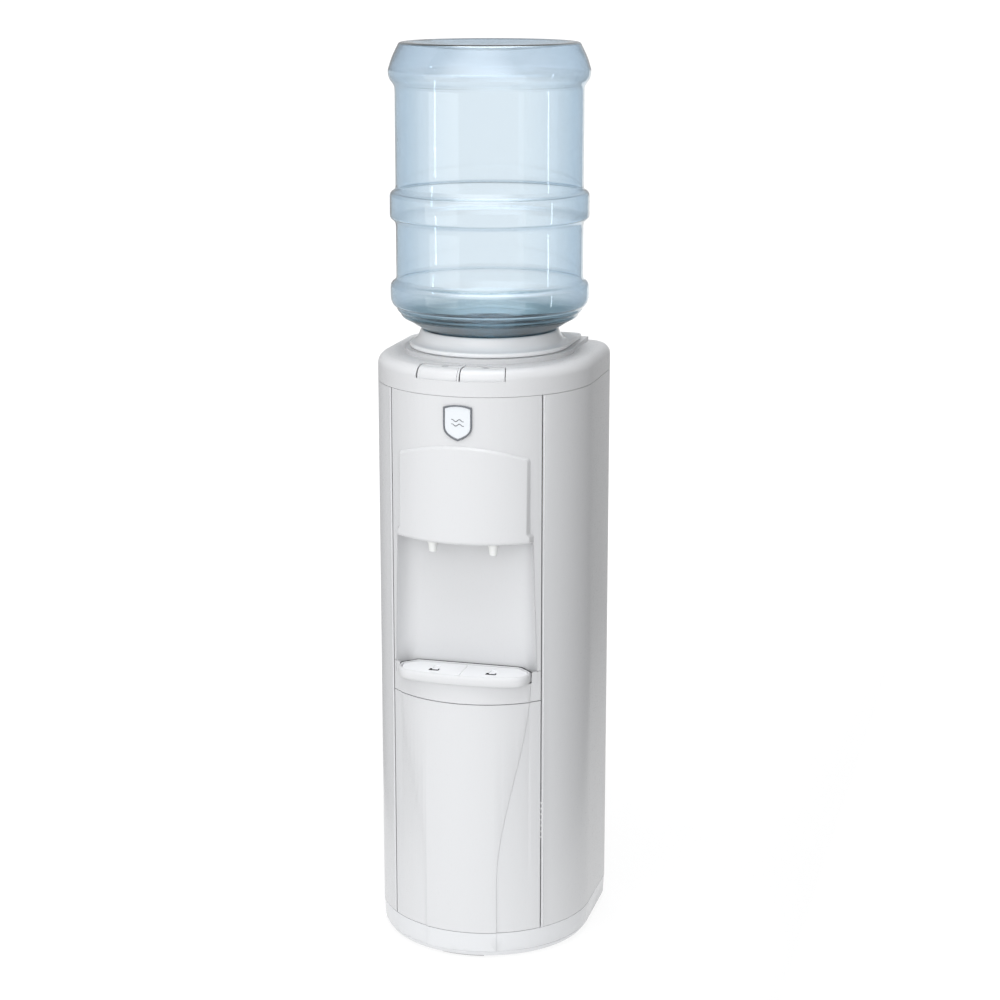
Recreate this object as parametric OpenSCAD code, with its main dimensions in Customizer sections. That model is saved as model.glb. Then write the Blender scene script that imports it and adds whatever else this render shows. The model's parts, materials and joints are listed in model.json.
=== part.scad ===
// Floor-standing, top-loading water dispenser with an 18.9 litre bottle.
// Millimetres, +Z up. The origin is on the floor, under the axis of the bowed front.
// The front faces -Y.

/* [Housing] */
// Width of the housing; the bowed front is a half circle of this diameter
body_w = 298; // [292:1:304]
// Distance from the front's axis to the back panel
body_back = 140; // [136:1:146]
// Radius of the two rear corners
corner_r = 40; // [34:1:44]
// Thickness of the moulded shells
wall = 2.5; // [2:0.5:3]
// Half the width of the front between its two vertical seams
seam_x = 104; // [102:1:106]
// Gap at the seams
seam_gap = 1.2; // [0.8:0.2:1.6]

/* [Heights] */
// Top of the base
base_h = 39; // [36:1:42]
// Seam between the lower front panel and the tray apron
apron_z = 371; // [369:1:373]
// Top of the tray apron, level with the drip tray
tray_z = 413; // [411:1:415]
// Underside of the hood, where the alcove ends
hood_z = 596; // [594:1:598]
// Seam under the lid
lid_z = 793; // [791:1:795]
// Top surface of the lid
lid_top = 829; // [828:1:830]

/* [Bottle] */
// Distance of the bottle's axis behind the front's axis
bottle_y = 14; // [13:1:15]
// Radius of the bottle's barrel
barrel_r = 127; // [126:1:128]
// Radius of the bottle's hoops
hoop_r = 135; // [134:1:136]
// Top of the inverted bottle
bottle_top = 1243; // [1240:1:1246]
// Wall of the bottle
bottle_wall = 2; // [1.5:0.5:2.5]

/* [Taps] */
// Sideways distance of each tap from the middle
tap_x = 42; // [40:1:44]
// Taps' distance in front of the front's axis
tap_y = 125.4; // [124:0.2:126]
// Turn of a pressed button, in degrees
button_turn = 6; // [4:1:6]

/* [Hidden] */
$fn = 64;
body_r = body_w / 2;
inner_r = body_r - wall;
front_y = sqrt(body_r * body_r - seam_x * seam_x);
lid_edge_r = 15;          // rounding of the lid's edge
skirt_z = 813;            // top of the lid's skirt, under the buttons
proud = 1.2;              // the raised centre of the lower front
alcove_back = 93.5;       // alcove's back wall, in front of the axis
alcove_half = 84;         // half its back wall's width
alcove_top_half = 94;     // half its opening at the top
alcove_low_half = 99;     // half its opening at the tray
hood_half = 91;
hood_top = 727;
badge_z = 758;
seat_r = 110;             // bottle seat's front radius and half its width
seat_back = 110;
seat_z = 835.4;           // underside of the seat's plate
well_r = 104;             // hole in the lid under the bottle seat
pivot_y = 108;            // axle of the two buttons, in front of the axis
pivot_z = 818;
axle_r = 2;
tank_r = 80;
tank_z0 = 610;
tank_z1 = 732;
foam_r = 104;
coil_r = 84.2;
outlet_z = 628;           // tank outlets and tap inlets
tap_angle = atan2(tap_x, tap_y + bottle_y);
tap_reach = sqrt(tap_x * tap_x + (tap_y + bottle_y) * (tap_y + bottle_y));
tray_low = tray_z - 15;   // underside of the drip tray
tap_low = 602.2;          // the tap's body, on the alcove's roof
tap_top = 642;
spring_top = 672;
rod_r = 2.6;
rod_top = 811;
drain_x = -70;
drain_z = 580;
socket_z = 714;           // switch and power inlet on the back
socket_x = 60;
comp_x = -20;             // compressor's axis
comp_y = 40;
plate_z = 14;             // top of the compressor's plate
grid_y = 152;             // condenser tube's plane, behind the back panel
grid_half = 96;
grid_z0 = 150;
grid_step = 34;
grid_rows = 11;
grid_top = grid_z0 + (grid_rows - 1) * grid_step;
tube_r = 2.4;
wire_r = 0.8;

// ---- shared shapes ----

// The housing's outline, drawn in by inset
module plan(inset = 0) {
    r = body_r - inset;
    circle(r = r, $fn = 180);
    translate([-r, 0]) square([2 * r, body_back - corner_r]);
    translate([-(body_r - corner_r), 0]) square([2 * (body_r - corner_r), body_back - inset]);
    for (s = [-1, 1]) translate([s * (body_r - corner_r), body_back - corner_r])
        circle(r = corner_r - inset, $fn = 96);
}

// Sweeps a profile round the outline: its x is measured outwards from the outline, its y is z
module around() {
    rotate_extrude(angle = 180, start = 180, $fn = 180) translate([body_r, 0]) children();
    for (s = [0, 1]) mirror([s, 0, 0]) {
        translate([0, body_back - corner_r, 0]) rotate([90, 0, 0])
            linear_extrude(body_back - corner_r) translate([body_r, 0]) children();
        translate([body_r - corner_r, body_back - corner_r, 0])
            rotate_extrude(angle = 90, $fn = 96) translate([corner_r, 0]) children();
    }
    translate([-(body_r - corner_r), body_back, 0]) rotate([90, 0, 90])
        linear_extrude(2 * (body_r - corner_r)) children();
}

// Points along an arc from angle a0 to a1
function arc(x, y, r, a0, a1, n = 8) =
    [for (i = [0 : n]) let (a = a0 + (a1 - a0) * i / n) [x + r * cos(a), y + r * sin(a)]];

// Points that round the corner b of the path a, b, c, starting at distance d from it
function bend(a, b, c, d, n = 6) =
    let (p = b + d * (a - b) / norm(a - b), q = b + d * (c - b) / norm(c - b))
    [for (i = [0 : n]) let (t = i / n) (1 - t) * (1 - t) * p + 2 * t * (1 - t) * b + t * t * q];

// Half the width of the alcove's opening at height z
function alcove_side(z) =
    alcove_low_half + (alcove_top_half - alcove_low_half) * (z - tray_z) / (hood_z + 6 - tray_z);

function smooth(t) = let (u = min(max(t, 0), 1)) u * u * (3 - 2 * u);

// Half the width of the raised centre of the lower front, at height z
function centre_half(z) = 50 + 42 * smooth((z - 110) / 290);

// Extrudes an outline drawn in X and Z along the front, from y = -180 to y = 0
module through_front() {
    rotate([90, 0, 0]) linear_extrude(180) children();
}

// A ring of the front between two heights and two radii
module front_ring(z0, z1, r_out, r_in) {
    translate([0, 0, z0]) difference() {
        cylinder(r = r_out, h = z1 - z0, $fn = 180);
        translate([0, 0, -1]) cylinder(r = r_in, h = z1 - z0 + 2, $fn = 180);
    }
}

// One moulded strip of the front: its shell, and the raised centre between the two curves
module front_strip(z0, z1) {
    half = seam_x - seam_gap / 2;
    steps = 14;
    intersection() {
        front_ring(z0, z1, body_r, inner_r);
        through_front() translate([-half, z0]) square([2 * half, z1 - z0]);
    }
    intersection() {
        front_ring(z0, z1, body_r + proud, body_r - 0.5);
        through_front() polygon([
            for (i = [0 : steps]) let (z = z0 + (z1 - z0) * i / steps) [centre_half(z), z],
            for (i = [steps : -1 : 0]) let (z = z0 + (z1 - z0) * i / steps) [-centre_half(z), z]
        ]);
    }
}

// A round bar between two points
module bar(a, b, r) {
    d = b - a;
    len = norm(d);
    translate(a) rotate([0, acos(d[2] / len), atan2(d[1], d[0])]) cylinder(r = r, h = len, $fn = 32);
}

// A tube swept along points, as one closed mesh
module sweep(points, r, sides = 8) {
    n = len(points);
    function dir(i) = let (d = points[min(i + 1, n - 1)] - points[max(i - 1, 0)]) d / norm(d);
    rings = [for (i = [0 : n - 1])
        let (d = dir(i), side = abs(d[2]) > 0.9 ? [1, 0, 0] : [0, 0, 1],
             u = cross(side, d) / norm(cross(side, d)), w = cross(d, u))
        for (k = [0 : sides - 1]) points[i] + r * (cos(360 * k / sides) * u + sin(360 * k / sides) * w)];
    faces = concat(
        [[for (k = [0 : sides - 1]) k]],
        [[for (k = [sides - 1 : -1 : 0]) (n - 1) * sides + k]],
        [for (i = [0 : n - 2], k = [0 : sides - 1])
            let (a = i * sides + k, b = i * sides + (k + 1) % sides) [b, a, a + sides, b + sides]]);
    polyhedron(points = rings, faces = faces, convexity = 8);
}

// Points of a helix about +Z
function helix(r, z0, z1, turns, per_turn = 20) =
    [for (i = [0 : turns * per_turn]) let (a = 360 * i / per_turn, t = i / (turns * per_turn))
        [r * cos(a), r * sin(a), z0 + (z1 - z0) * t]];

// Pan-head screw pointing along -Z from its seat
module screw(r = 1.6, length = 9) {
    difference() {
        cylinder(r = 3.2, h = 2, $fn = 32);
        for (a = [0, 90]) rotate(a) translate([-2, -0.4, 1.2]) cube([4, 0.8, 2]);
    }
    translate([0, 0, -length]) cylinder(r = r, h = length + 0.1, $fn = 24);
}

// ---- base ----

foot_places = [[-98, -62], [98, -62], [-98, 104], [98, 104]];

module base_profile() {
    polygon([[0, base_h], [-1.6, 11.6], [-2.8, 10.8], [-2.2, 10], [-7, 3], [-9.6, 3], [-6.4, 9], [-5.4, base_h]]);
}

module base_plinth() color("white") {
    half_turn = asin(50 / body_r);
    difference() {
        union() {
            around() base_profile();
            translate([0, 0, 9]) linear_extrude(wall) plan(5.9);
            rotate_extrude(angle = 2 * half_turn, start = 270 - half_turn, $fn = 180)
                translate([body_r, 0]) polygon([[proud, base_h], [proud - 1.6, 11.6], [-2.4, 11.6], [-1, base_h]]);
        }
        for (p = foot_places) translate([p[0], p[1], 5]) cylinder(r = 4, h = 10);
        for (x = [-72 : 18 : 72]) translate([x - 3, -100, 5]) cube([6, 50, 10]);
    }
}

module foot_pads() color("dimgray")
    for (p = foot_places) translate([p[0], p[1], 0]) {
        cylinder(r1 = 13, r2 = 14, h = 9);
        cylinder(r = 3.9, h = 16);
    }

module front_foot() color("gray")
    intersection() {
        front_ring(0, 9, 137, 122);
        through_front() translate([-30, 0]) square([60, 9]);
    }

// ---- shell ----

// Screws between the side panels and the lid, on the right-hand side
lid_screw_places = [[128, 20], [118, 104]];

// Places of the back panel's screws, and the height where its lower and upper sheets meet
back_screw_places = [for (x = [-96, 96], z = [60, 360, 664, 697, 770]) [x, z]];
back_split_z = 680;

module side_panel() {
    z0 = base_h + 0.6;
    h = lid_z - 0.6 - z0;
    edge = seam_x + seam_gap / 2;
    for (p = lid_screw_places) difference() {
        translate([0, 0, lid_z - 3]) linear_extrude(2.4) intersection() {
            translate([p[0] - 8, p[1] - 8]) square([60, 16]);
            plan(1);
        }
        translate([p[0], p[1], lid_z - 4]) cylinder(r = 1.8, h = 5);
    }
    translate([0, 0, z0]) linear_extrude(h) {
        intersection() {
            difference() {
                plan();
                plan(wall);
            }
            translate([edge, -body_r]) square([60, body_r + body_back]);
        }
        translate([edge, -front_y + 2]) square([wall, 14]);
        translate([edge, body_back - 14]) square([wall, 12.5]);
    }
    difference() {
        translate([88, body_back - wall - 2.6, z0]) cube([edge + wall - 88, 2.4, h]);
        for (p = back_screw_places) translate([p[0], body_back, p[1]]) rotate([90, 0, 0]) cylinder(r = 1.8, h = 8);
        for (z = [grid_z0, grid_top]) translate([grid_half, body_back, z]) rotate([90, 0, 0]) cylinder(r = 5.5, h = 8);
    }
}

module side_panel_right() color("gainsboro") side_panel();

module side_panel_left() color("gainsboro") mirror([1, 0, 0]) side_panel();

module back_panel() color("lightgray") {
    half = seam_x - seam_gap / 2;
    difference() {
        translate([-half, body_back - wall, base_h + 0.6]) cube([2 * half, wall, lid_z - base_h - 1.2]);
        for (p = back_screw_places) translate([p[0], body_back + 1, p[1]]) rotate([90, 0, 0])
            cylinder(r = 1.8, h = 6);
        translate([-half - 1, body_back - 5, back_split_z]) cube([2 * half + 2, 10, 0.8]);
        for (z = [70 : 9 : 124], x = [-60, 0, 60]) translate([x - 22, body_back - 5, z]) cube([44, 10, 4]);
        for (z = [600 : 10 : 650], x = [-40, 40]) translate([x - 25, body_back - 5, z]) cube([50, 10, 4]);
        for (s = [-1, 1]) translate([s * socket_x - 14, body_back - 5, socket_z - 10]) cube([28, 10, 20]);
        translate([drain_x, body_back + 1, drain_z]) rotate([90, 0, 0]) cylinder(r = 8, h = 10);
        translate([-grid_half, body_back + 1, grid_top]) rotate([90, 0, 0]) cylinder(r = 4, h = 10);
        translate([grid_half, body_back + 1, grid_z0]) rotate([90, 0, 0]) cylinder(r = 4, h = 10);
    }
}

module lower_front_panel() color("white") {
    front_strip(base_h + 0.6, apron_z - 0.5);
    for (s = [-1, 1], z = [90, 320]) translate([s * 92 - 2, -115, z]) cube([4, 12, 14]);
}

// The opening that the tray's lip rests in
module tray_gap() {
    translate([-93, tray_z - 15.6]) square([186, 30]);
}

module tray_apron() color("white")
    difference() {
        front_strip(apron_z + 0.5, tray_z - 0.4);
        through_front() tray_gap();
    }

// The alcove's opening, from the tray up to the hood
module alcove_opening() {
    low = alcove_side(tray_z);
    top = alcove_side(hood_z + 6);
    polygon([[-low, tray_z], [low, tray_z], [top, hood_z + 6], [-top, hood_z + 6]]);
}

// The hood's outline on the front, drawn in by inset
module hood_outline(inset = 0) {
    low = hood_z - 2 + inset;
    shoulder = 712;
    half = hood_half - inset;
    rise = hood_top - shoulder - inset;
    arch_half = half - 8;
    arch_r = (arch_half * arch_half + rise * rise) / (2 * rise);
    sweep_angle = asin(arch_half / arch_r);
    polygon(concat(
        [[-half - 1, low], [half + 1, low], [half, shoulder - 8]],
        arc(half - 8, shoulder - 8, 8, 0, 70, 4),
        arc(0, hood_top - inset - arch_r, arch_r, 90 - sweep_angle + 1, 90 + sweep_angle - 1, 14),
        arc(-half + 8, shoulder - 8, 8, 110, 180, 4)));
}

module front_fascia() color("white")
    difference() {
        intersection() {
            front_ring(tray_z + 0.4, lid_z - 0.5, body_r, inner_r);
            through_front() translate([-(seam_x - seam_gap / 2), tray_z])
                square([2 * seam_x - seam_gap, lid_z - tray_z]);
        }
        through_front() union() {
            alcove_opening();
            hood_outline(3.5);
        }
    }

// The hood's tapering skin, drawn in by inset
module hood_cone(inset = 0) {
    translate([0, 0, hood_z - 2]) cylinder(r1 = 155.8 - inset, r2 = 149.5 - inset, h = 134, $fn = 180);
}

module dispensing_hood() color("whitesmoke")
    difference() {
        intersection() {
            hood_cone();
            through_front() hood_outline();
        }
        intersection() {
            translate([0, 0, -0.5]) hood_cone(wall);
            through_front() union() {
                hood_outline(wall);
                translate([-hood_half + wall, hood_z - 8]) square([2 * (hood_half - wall), 14]);
            }
        }
        difference() {
            cylinder(r = body_r + 0.1, h = 900, $fn = 180);
            through_front() hood_outline(4);
        }
        cylinder(r = inner_r, h = 900, $fn = 180);
    }

// Cross-section of the alcove at height z, drawn out by grow: its sides flare towards the front
module alcove_slice(z, grow) {
    wide = alcove_side(z) + grow;
    edge_y = 0.6 - sqrt(body_r * body_r - alcove_side(z) * alcove_side(z));
    back = -alcove_back + grow;
    half = alcove_half + grow * 0.6;
    translate([0, 0, z]) linear_extrude(0.01) polygon(concat(
        bend([-wide, edge_y], [-half, back], [half, back], 12),
        bend([-half, back], [half, back], [wide, edge_y], 12),
        [[wide, edge_y], [wide, -170], [-wide, -170], [-wide, edge_y]]));
}

module alcove_space(z0, z1, grow = 0) {
    hull() {
        alcove_slice(z0, grow);
        alcove_slice(z1 - 0.01, grow);
    }
}

module alcove_liner() color("whitesmoke") {
    low = tray_z - 17.4;
    difference() {
        intersection() {
            alcove_space(low, hood_z + 6, 2);
            cylinder(r = inner_r - 0.3, h = 900, $fn = 180);
        }
        alcove_space(low + 2, hood_z + 4);
        for (s = [-1, 1]) translate([s * tap_x, -tap_y, hood_z]) cylinder(r = 8, h = 20);
    }
}

// ---- badge ----

// A shield outline, drawn in by inset
module badge_outline(inset = 0) {
    half = 19.5 - inset;
    top = 24.2 - inset;
    low = -24.2 + inset * 1.3;
    polygon(concat(
        [for (i = [-6 : 6]) [half * i / 6, top - 3 * pow(i / 6, 2)]],
        [for (i = [0 : 12]) let (t = i / 12) [half * (1 - pow(t, 3)), -2 - (-2 - low) * t]],
        [for (i = [11 : -1 : 0]) let (t = i / 12) [-half * (1 - pow(t, 3)), -2 - (-2 - low) * t]]));
}

// A piece of the badge standing on the bowed front, as far forward as -y
module on_front(y) {
    difference() {
        translate([0, -140, badge_z]) rotate([90, 0, 0]) linear_extrude(y - 140) children();
        cylinder(r = body_r, h = 900, $fn = 900);
    }
}

module badge_bezel() color("silver")
    on_front(body_r + 1.8) difference() {
        badge_outline();
        badge_outline(2);
    }

module badge_plate() color("white") on_front(body_r + 1) badge_outline(2.05);

// ---- lid and buttons ----

// Cross-section of the lid's rim: skirt, rounded edge and top, as a shell
module lid_rim(depth = 0, thick = wall) {
    r = lid_edge_r - depth;
    polygon(concat(
        [[-depth, lid_z]],
        arc(-lid_edge_r, lid_top - lid_edge_r, r, 0, 90, 12),
        [[-30, lid_top - depth], [-30, lid_top - depth - thick]],
        arc(-lid_edge_r, lid_top - lid_edge_r, r - thick, 90, 0, 12),
        [[-depth - thick, lid_z]]));
}

// Plan of one button's well, to the right of the middle, drawn in by inset
module well_plan(inset = 0) {
    polygon([[1.2 + inset, -160], [66 - inset, -160], [57 - inset, -113.5 - inset], [1.2 + inset, -113.5 - inset]]);
}

// Outline of the bottle seat, drawn out by grow
module seat_plan(grow = 0) {
    r = seat_r + grow;
    translate([0, bottle_y]) circle(r = r, $fn = 160);
    translate([-r + 2, bottle_y]) square([2 * r - 4, seat_back - bottle_y + grow]);
}

module top_lid() color("white")
    difference() {
        union() {
            around() lid_rim();
            translate([0, 0, lid_top - wall]) linear_extrude(wall) plan(29.9);
            translate([0, 0, lid_top - 0.5]) linear_extrude(6.5) seat_plan(7);
            for (x = [-64.5, -1.2, 62.1]) translate([x, -pivot_y - 5, pivot_z - 5]) cube([2.4, 10, 14]);
            for (s = [-1, 1], p = lid_screw_places) translate([s * p[0], p[1], lid_z - 0.6])
                cylinder(r = 4.5, h = lid_top - lid_z - 1);
        }
        for (s = [0, 1]) mirror([s, 0, 0]) translate([0, 0, skirt_z]) linear_extrude(40) well_plan();
        translate([0, bottle_y, lid_z - 1]) cylinder(r = well_r, h = 60, $fn = 180);
        translate([-70, -pivot_y, pivot_z]) rotate([0, 90, 0]) cylinder(r = axle_r, h = 140);
        for (s = [-1, 1], p = lid_screw_places) translate([s * p[0], p[1], lid_z - 1]) cylinder(r = 1.6, h = 14);
    }

// The button on the right of the middle
module button() {
    well = 2.8;
    recess = 0.8;
    r = 13;
    shell = 2.2;
    difference() {
        intersection() {
            rotate_extrude(angle = 180, start = 180, $fn = 180) polygon(concat(
                [[body_r - well, skirt_z - 2]],
                arc(body_r - well - r, lid_top - recess - r, r, 0, 90, 10),
                [[100, lid_top - recess], [100, lid_top - recess - shell]],
                arc(body_r - well - r, lid_top - recess - r, r - shell, 90, 0, 10),
                [[body_r - well - shell, skirt_z - 2]]));
            translate([0, 0, 780]) linear_extrude(60) well_plan(1.1);
        }
    }
    for (x = [6, 52]) difference() {
        union() {
            translate([x, -122, pivot_z - 3]) cube([3, 7.4, 11.2]);
            translate([x, -118, pivot_z - 3]) cube([3, 10, 6]);
            translate([x, -pivot_y, pivot_z]) rotate([0, 90, 0]) cylinder(r = 4, h = 3);
        }
        translate([x - 1, -pivot_y, pivot_z]) rotate([0, 90, 0]) cylinder(r = axle_r + 0.06, h = 5);
    }
    translate([tap_x, -tap_y, 814.3]) {
        sphere(r = 3, $fn = 32);
        cylinder(r = 3, h = 12.2, $fn = 32);
    }
}

module button_cold() color("white") button();

module button_room() color("white") mirror([1, 0, 0]) button();

module button_axle() color("silver")
    translate([-66, -pivot_y, pivot_z]) rotate([0, 90, 0]) cylinder(r = axle_r - 0.02, h = 132);

// ---- drip tray ----

// Plan of the tray, drawn in by inset
module tray_plan(inset = 0) {
    r = 309 - inset;
    side = 92 - inset;
    back = -alcove_back - 1.4 - inset;
    back_half = 73 - 0.4 * inset;
    shoulder = -113 - 0.4 * inset;
    function front(x) = [x, 153 - sqrt(r * r - x * x)];
    polygon(concat(
        bend([-side, shoulder], [-back_half, back], [back_half, back], 4, 3),
        bend([-back_half, back], [back_half, back], [side, shoulder], 4, 3),
        bend([back_half, back], [side, shoulder], [side, -140], 3, 3),
        bend([side, shoulder], front(side), front(side - 30), 20, 8),
        [for (i = [-11 : 11]) front(-i * 6)],
        bend(front(30 - side), front(-side), [-side, shoulder], 20, 8),
        bend([-side, -140], [-side, shoulder], [-back_half, back], 3, 3)));
}

module drip_tray() color("white")
    difference() {
        union() {
            translate([0, 0, tray_low]) linear_extrude(14.6 - 2) tray_plan();
            translate([0, 0, tray_low + 12.5]) linear_extrude(1.2) tray_plan(0.5);
            translate([0, 0, tray_low + 13.6]) linear_extrude(1) tray_plan(1.4);
        }
        translate([0, 0, tray_low + 2]) linear_extrude(30) tray_plan(4);
    }

module drip_grille() color("white")
    difference() {
        union() {
            translate([0, 0, tray_z - 4.6]) linear_extrude(2.4) tray_plan(4.5);
            for (s = [-1, 1], y = [-142, -108]) translate([s * 40 - 1, y, tray_low + 2.3])
                cube([2, 6, tray_z - 4.5 - tray_low - 2.3]);
        }
        for (s = [-1, 1]) {
            translate([s * 40 - 7, -134.5, tray_z - 8]) cube([14, 8, 8]);
            translate([s * 40 - 4, -126.6, tray_z - 3.4]) cube([8, 14, 4]);
        }
        translate([-0.8, -149, tray_z - 3]) cube([1.6, 49, 4]);
    }

// ---- taps ----

// A tap at its place on the left (s = -1) or right (s = 1)
module at_tap(s) {
    translate([s * tap_x, -tap_y, 0]) children();
}

// Turns a shape drawn along +X to run from the tank's axis towards a tap
module towards_tap(s) {
    translate([0, bottle_y, outlet_z]) rotate([0, 0, -90 + s * tap_angle]) rotate([0, 90, 0]) children();
}

// A pipe from distance a to distance b from the tank's axis
module pipe_to_tap(s, a, b, r_out, r_in) {
    towards_tap(s) translate([0, 0, a]) difference() {
        cylinder(r = r_out, h = b - a);
        translate([0, 0, -1]) cylinder(r = r_in, h = b - a + 2);
    }
}

module tap(s) {
    difference() {
        union() {
            at_tap(s) translate([0, 0, tap_low]) cylinder(r = 12, h = tap_top - tap_low);
            towards_tap(s) translate([0, 0, tap_reach - 26]) cylinder(r = 4.9, h = 16);
        }
        at_tap(s) {
            translate([0, 0, tap_low - 1]) cylinder(r = 9, h = 612 - tap_low + 1);
            translate([0, 0, 611]) cylinder(r = 4, h = 6);
            translate([0, 0, 616]) cylinder(r = 8.5, h = 20);
            translate([0, 0, 635]) cylinder(r = rod_r + 0.08, h = 10);
        }
        towards_tap(s) translate([0, 0, tap_reach - 27]) cylinder(r = 3.5, h = 27);
    }
}

module spout(s) {
    at_tap(s) difference() {
        union() {
            translate([0, 0, 576]) cylinder(r1 = 5.2, r2 = 6.4, h = 12);
            translate([0, 0, 587.9]) cylinder(r = 7.4, h = 15);
            translate([0, 0, tap_low + 0.1]) cylinder(r = 9, h = 2.6);
        }
        translate([0, 0, 570]) cylinder(r = 3.6, h = 40);
        translate([0, 0, 598]) cylinder(r = 6, h = 10);
    }
}

module plunger(s) {
    at_tap(s) {
        translate([0, 0, 607]) cylinder(r1 = 5, r2 = 7, h = 4.7);
        translate([0, 0, 610]) cylinder(r = rod_r, h = rod_top - 610);
        translate([0, 0, spring_top]) cylinder(r = 6, h = 2);
    }
}

module return_spring(s) {
    at_tap(s) sweep(helix(4.6, tap_top + 0.7, spring_top - 0.7, 6), 0.6, 6);
}

module tap_room() color("white") tap(-1);

module tap_cold() color("white") tap(1);

module spout_room() color("ghostwhite") spout(-1);

module spout_cold() color("ghostwhite") spout(1);

module plunger_room() color("gray") plunger(-1);

module plunger_cold() color("gray") plunger(1);

module return_spring_room() color("silver") return_spring(-1);

module return_spring_cold() color("silver") return_spring(1);

module tap_hoses() color("aliceblue")
    for (s = [-1, 1]) pipe_to_tap(s, foam_r + 1, tap_reach - 12.5, 7, 4.95);

module rod_guide() color("gainsboro")
    difference() {
        intersection() {
            translate([-60, -150, 742]) cube([120, 40, 4]);
            cylinder(r = inner_r - 0.02, h = 900, $fn = 180);
        }
        for (s = [-1, 1]) at_tap(s) translate([0, 0, 740]) cylinder(r = rod_r + 0.4, h = 10);
    }

// ---- bottle and its seat ----

// The bottle's shoulder, from its lowest hoop in to its mouth, as radius and height
shoulder = [[134, 897], [127.4, 888], [120.5, 879], [108, 870], [93, 861], [80, 852.8], [62, 841],
            [46, 829], [36, 819], [30, 811], [27, 803], [27, 752]];
// The rest of its profile, from the flat top down to that hoop
barrel = concat([[118, bottle_top], [122, bottle_top - 1.5], [136, 1205], [134.4, 1195], [127.6, 1186]],
    [[barrel_r, 1180], [barrel_r, 1052]],
    arc(barrel_r, 1048.5, 3.5, 80, -10, 3), [[hoop_r - 0.6, 1041], [hoop_r, 1037], [hoop_r, 1015],
     [hoop_r - 0.8, 1011], [128.4, 1005], [barrel_r, 1000], [barrel_r, 929],
     [129, 925], [hoop_r - 1, 920], [hoop_r, 914], [hoop_r, 902]]);

module bottle() color([0.62, 0.8, 0.92, 0.35]) {
    outside = concat(barrel, shoulder);
    n = len(outside) - 1;
    inside = [for (i = [n : -1 : 0]) let (a = outside[max(i - 1, 0)], b = outside[min(i + 1, n)],
        d = (b - a) / norm(b - a)) outside[i] + bottle_wall * [d[1], -d[0]]];
    translate([0, bottle_y, 0]) rotate_extrude($fn = 180)
        polygon(concat([[0, bottle_top]], outside,
            [[27 - bottle_wall, 752]], [for (i = [1 : n - 1]) inside[i]], [[0, bottle_top - bottle_wall]]));
}

module bottle_cap() color("dodgerblue")
    translate([0, bottle_y, 0]) difference() {
        rotate_extrude($fn = 96) polygon([[9, 749.4], [29.4, 749.4], [29.6, 786], [27.05, 786], [27.05, 751.9],
            [11, 751.9], [11, 784], [0, 784], [0, 781.8], [9, 781.8]]);
        for (a = [0, 90]) rotate(a) translate([-15, -3, 772]) cube([30, 6, 7]);
    }

module bottle_seat() color("white")
    difference() {
        union() {
            translate([0, 0, seat_z]) linear_extrude(6) difference() {
                seat_plan();
                translate([0, bottle_y]) circle(r = 98.6, $fn = 180);
            }
            translate([0, bottle_y, 0]) rotate_extrude($fn = 180) polygon([
                [101, 823], [101, seat_z + 1], [108.5, seat_z + 1], [108.5, 841.4], [104, 843.4], [100, 847],
                [97, 852], [95.2, 857], [93.4, 859.2], [91.6, 859.6], [88.5, 857.4], [80, 852], [62, 840.2],
                [46, 828.2], [38.5, 820.6], [35.5, 812], [35.5, 744], [7.1, 744], [7.1, 740], [38, 740],
                [38, 812.6], [40.6, 819.4], [47.6, 826.2], [63.2, 838], [81, 849.6], [90, 855], [92.4, 855],
                [94.6, 849], [98.5, 840], [98.5, 823]]);
        }
    }

module feed_probe() color("whitesmoke")
    translate([0, bottle_y, 0]) difference() {
        union() {
            translate([0, 0, 722]) cylinder(r = 7.05, h = 50);
            translate([0, 0, 772]) cylinder(r1 = 7.05, r2 = 3, h = 7);
        }
        translate([0, 0, 721]) cylinder(r = 5, h = 50);
        for (a = [0, 90]) rotate(a) translate([-10, -1.6, 760]) cube([20, 3.2, 9]);
    }

module seat_gasket() color("silver")
    translate([0, bottle_y, 736.2]) difference() {
        cylinder(r = 14, h = 3.8);
        translate([0, 0, -1]) cylinder(r = 7.1, h = 6);
    }

// ---- tank ----

module tank_lid() color("white")
    translate([0, bottle_y, 0]) difference() {
        union() {
            translate([0, 0, tank_z1]) cylinder(r = 84, h = 4, $fn = 128);
            translate([0, 0, tank_z1 - 4]) cylinder(r = 78.4, h = 4.1, $fn = 128);
        }
        translate([0, 0, tank_z1 - 5]) cylinder(r = 75.6, h = 5, $fn = 128);
        translate([0, 0, tank_z1 - 1]) cylinder(r = 7.6, h = 6);
    }

module cold_tank() color("silver")
    difference() {
        union() {
            translate([0, bottle_y, tank_z0]) cylinder(r = tank_r, h = tank_z1 - tank_z0, $fn = 128);
            for (s = [-1, 1]) towards_tap(s) translate([0, 0, 70]) cylinder(r = 4.9, h = 42);
            translate([-30, 60, 598]) cylinder(r = 5, h = 13);
        }
        translate([0, bottle_y, tank_z0 + 1.5]) cylinder(r = tank_r - 1.5, h = 140, $fn = 128);
        for (s = [-1, 1]) towards_tap(s) translate([0, 0, 60]) cylinder(r = 3.5, h = 60);
        translate([-30, 60, 590]) cylinder(r = 3.5, h = 40);
    }

// The riser's distance from the tank's axis, on the room-temperature side
riser_at = 64;
riser_dir = -90 - tap_angle;

module tank_baffle() color("white")
    translate([0, bottle_y, 0]) difference() {
        union() {
            translate([0, 0, 680]) cylinder(r = 78, h = 2.5, $fn = 128);
            for (a = [30, 150, 270]) rotate(a) translate([50, 0, tank_z0 + 1.6]) cylinder(r = 3, h = 69);
        }
        translate([0, 0, 670]) cylinder(r = 10, h = 20);
        rotate(riser_dir) translate([riser_at, 0, 670]) cylinder(r = 5.2, h = 20);
    }

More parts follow.
